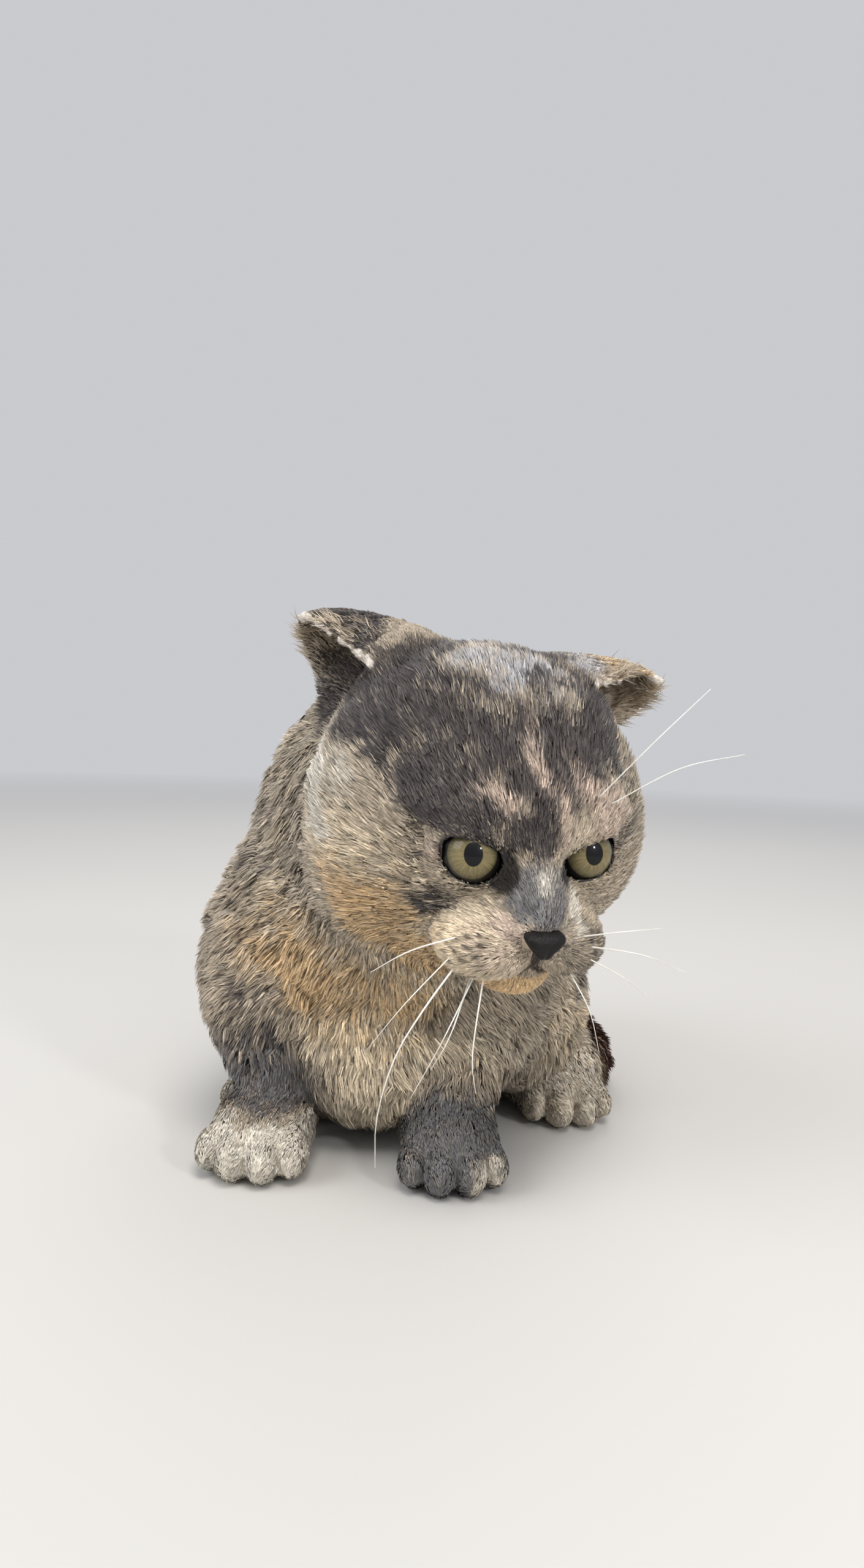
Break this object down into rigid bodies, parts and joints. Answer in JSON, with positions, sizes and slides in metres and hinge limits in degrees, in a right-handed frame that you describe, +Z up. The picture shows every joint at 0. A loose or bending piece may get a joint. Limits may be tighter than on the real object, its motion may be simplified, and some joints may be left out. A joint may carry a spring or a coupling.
{
  "type": "scottish fold cat",
  "caption": "Life-size still model of a crouching Scottish Fold cat with a blue-cream tortoiseshell coat, half-folded ears and a lowered, turned head.",
  "frame": {"origin": "middle of the footprint's bounding box at the level it rests on", "axes": "+Z up, -Y the way the body faces, +X the cat's left"},
  "size_m": [0.1841, 0.271, 0.2104],
  "materials": {
    "coat_grey": "short dense plush fur, blue-grey ticked with buff and cream",
    "coat_cream": "short dense plush fur, cream",
    "coat_brown": "short dense plush fur, dark red-brown",
    "eye": "wet, yellow-olive iris with a dark upright oval pupil",
    "nose_leather": "damp fine-grained skin, near black"
  },
  "bodies": {
    "root": {"face": "coat_grey", "head": "coat_grey", "neck": "coat_grey", "trunk": "coat_grey", "rump": "coat_grey", "foreleg_right": "coat_grey", "foreleg_left": "coat_grey", "paw_front_left": "coat_grey", "thigh_left": "coat_grey", "thigh_right": "coat_grey", "ear_left": "coat_grey", "ear_right": "coat_grey", "paw_front_right": "coat_cream", "paw_hind_left": "coat_cream", "paw_hind_right": "coat_cream", "tail_base": "coat_brown", "tail_middle": "coat_brown", "tail_tip": "coat_brown", "eye_left": "eye", "eye_right": "eye", "nose": "nose_leather"}
  },
  "joints": []
}
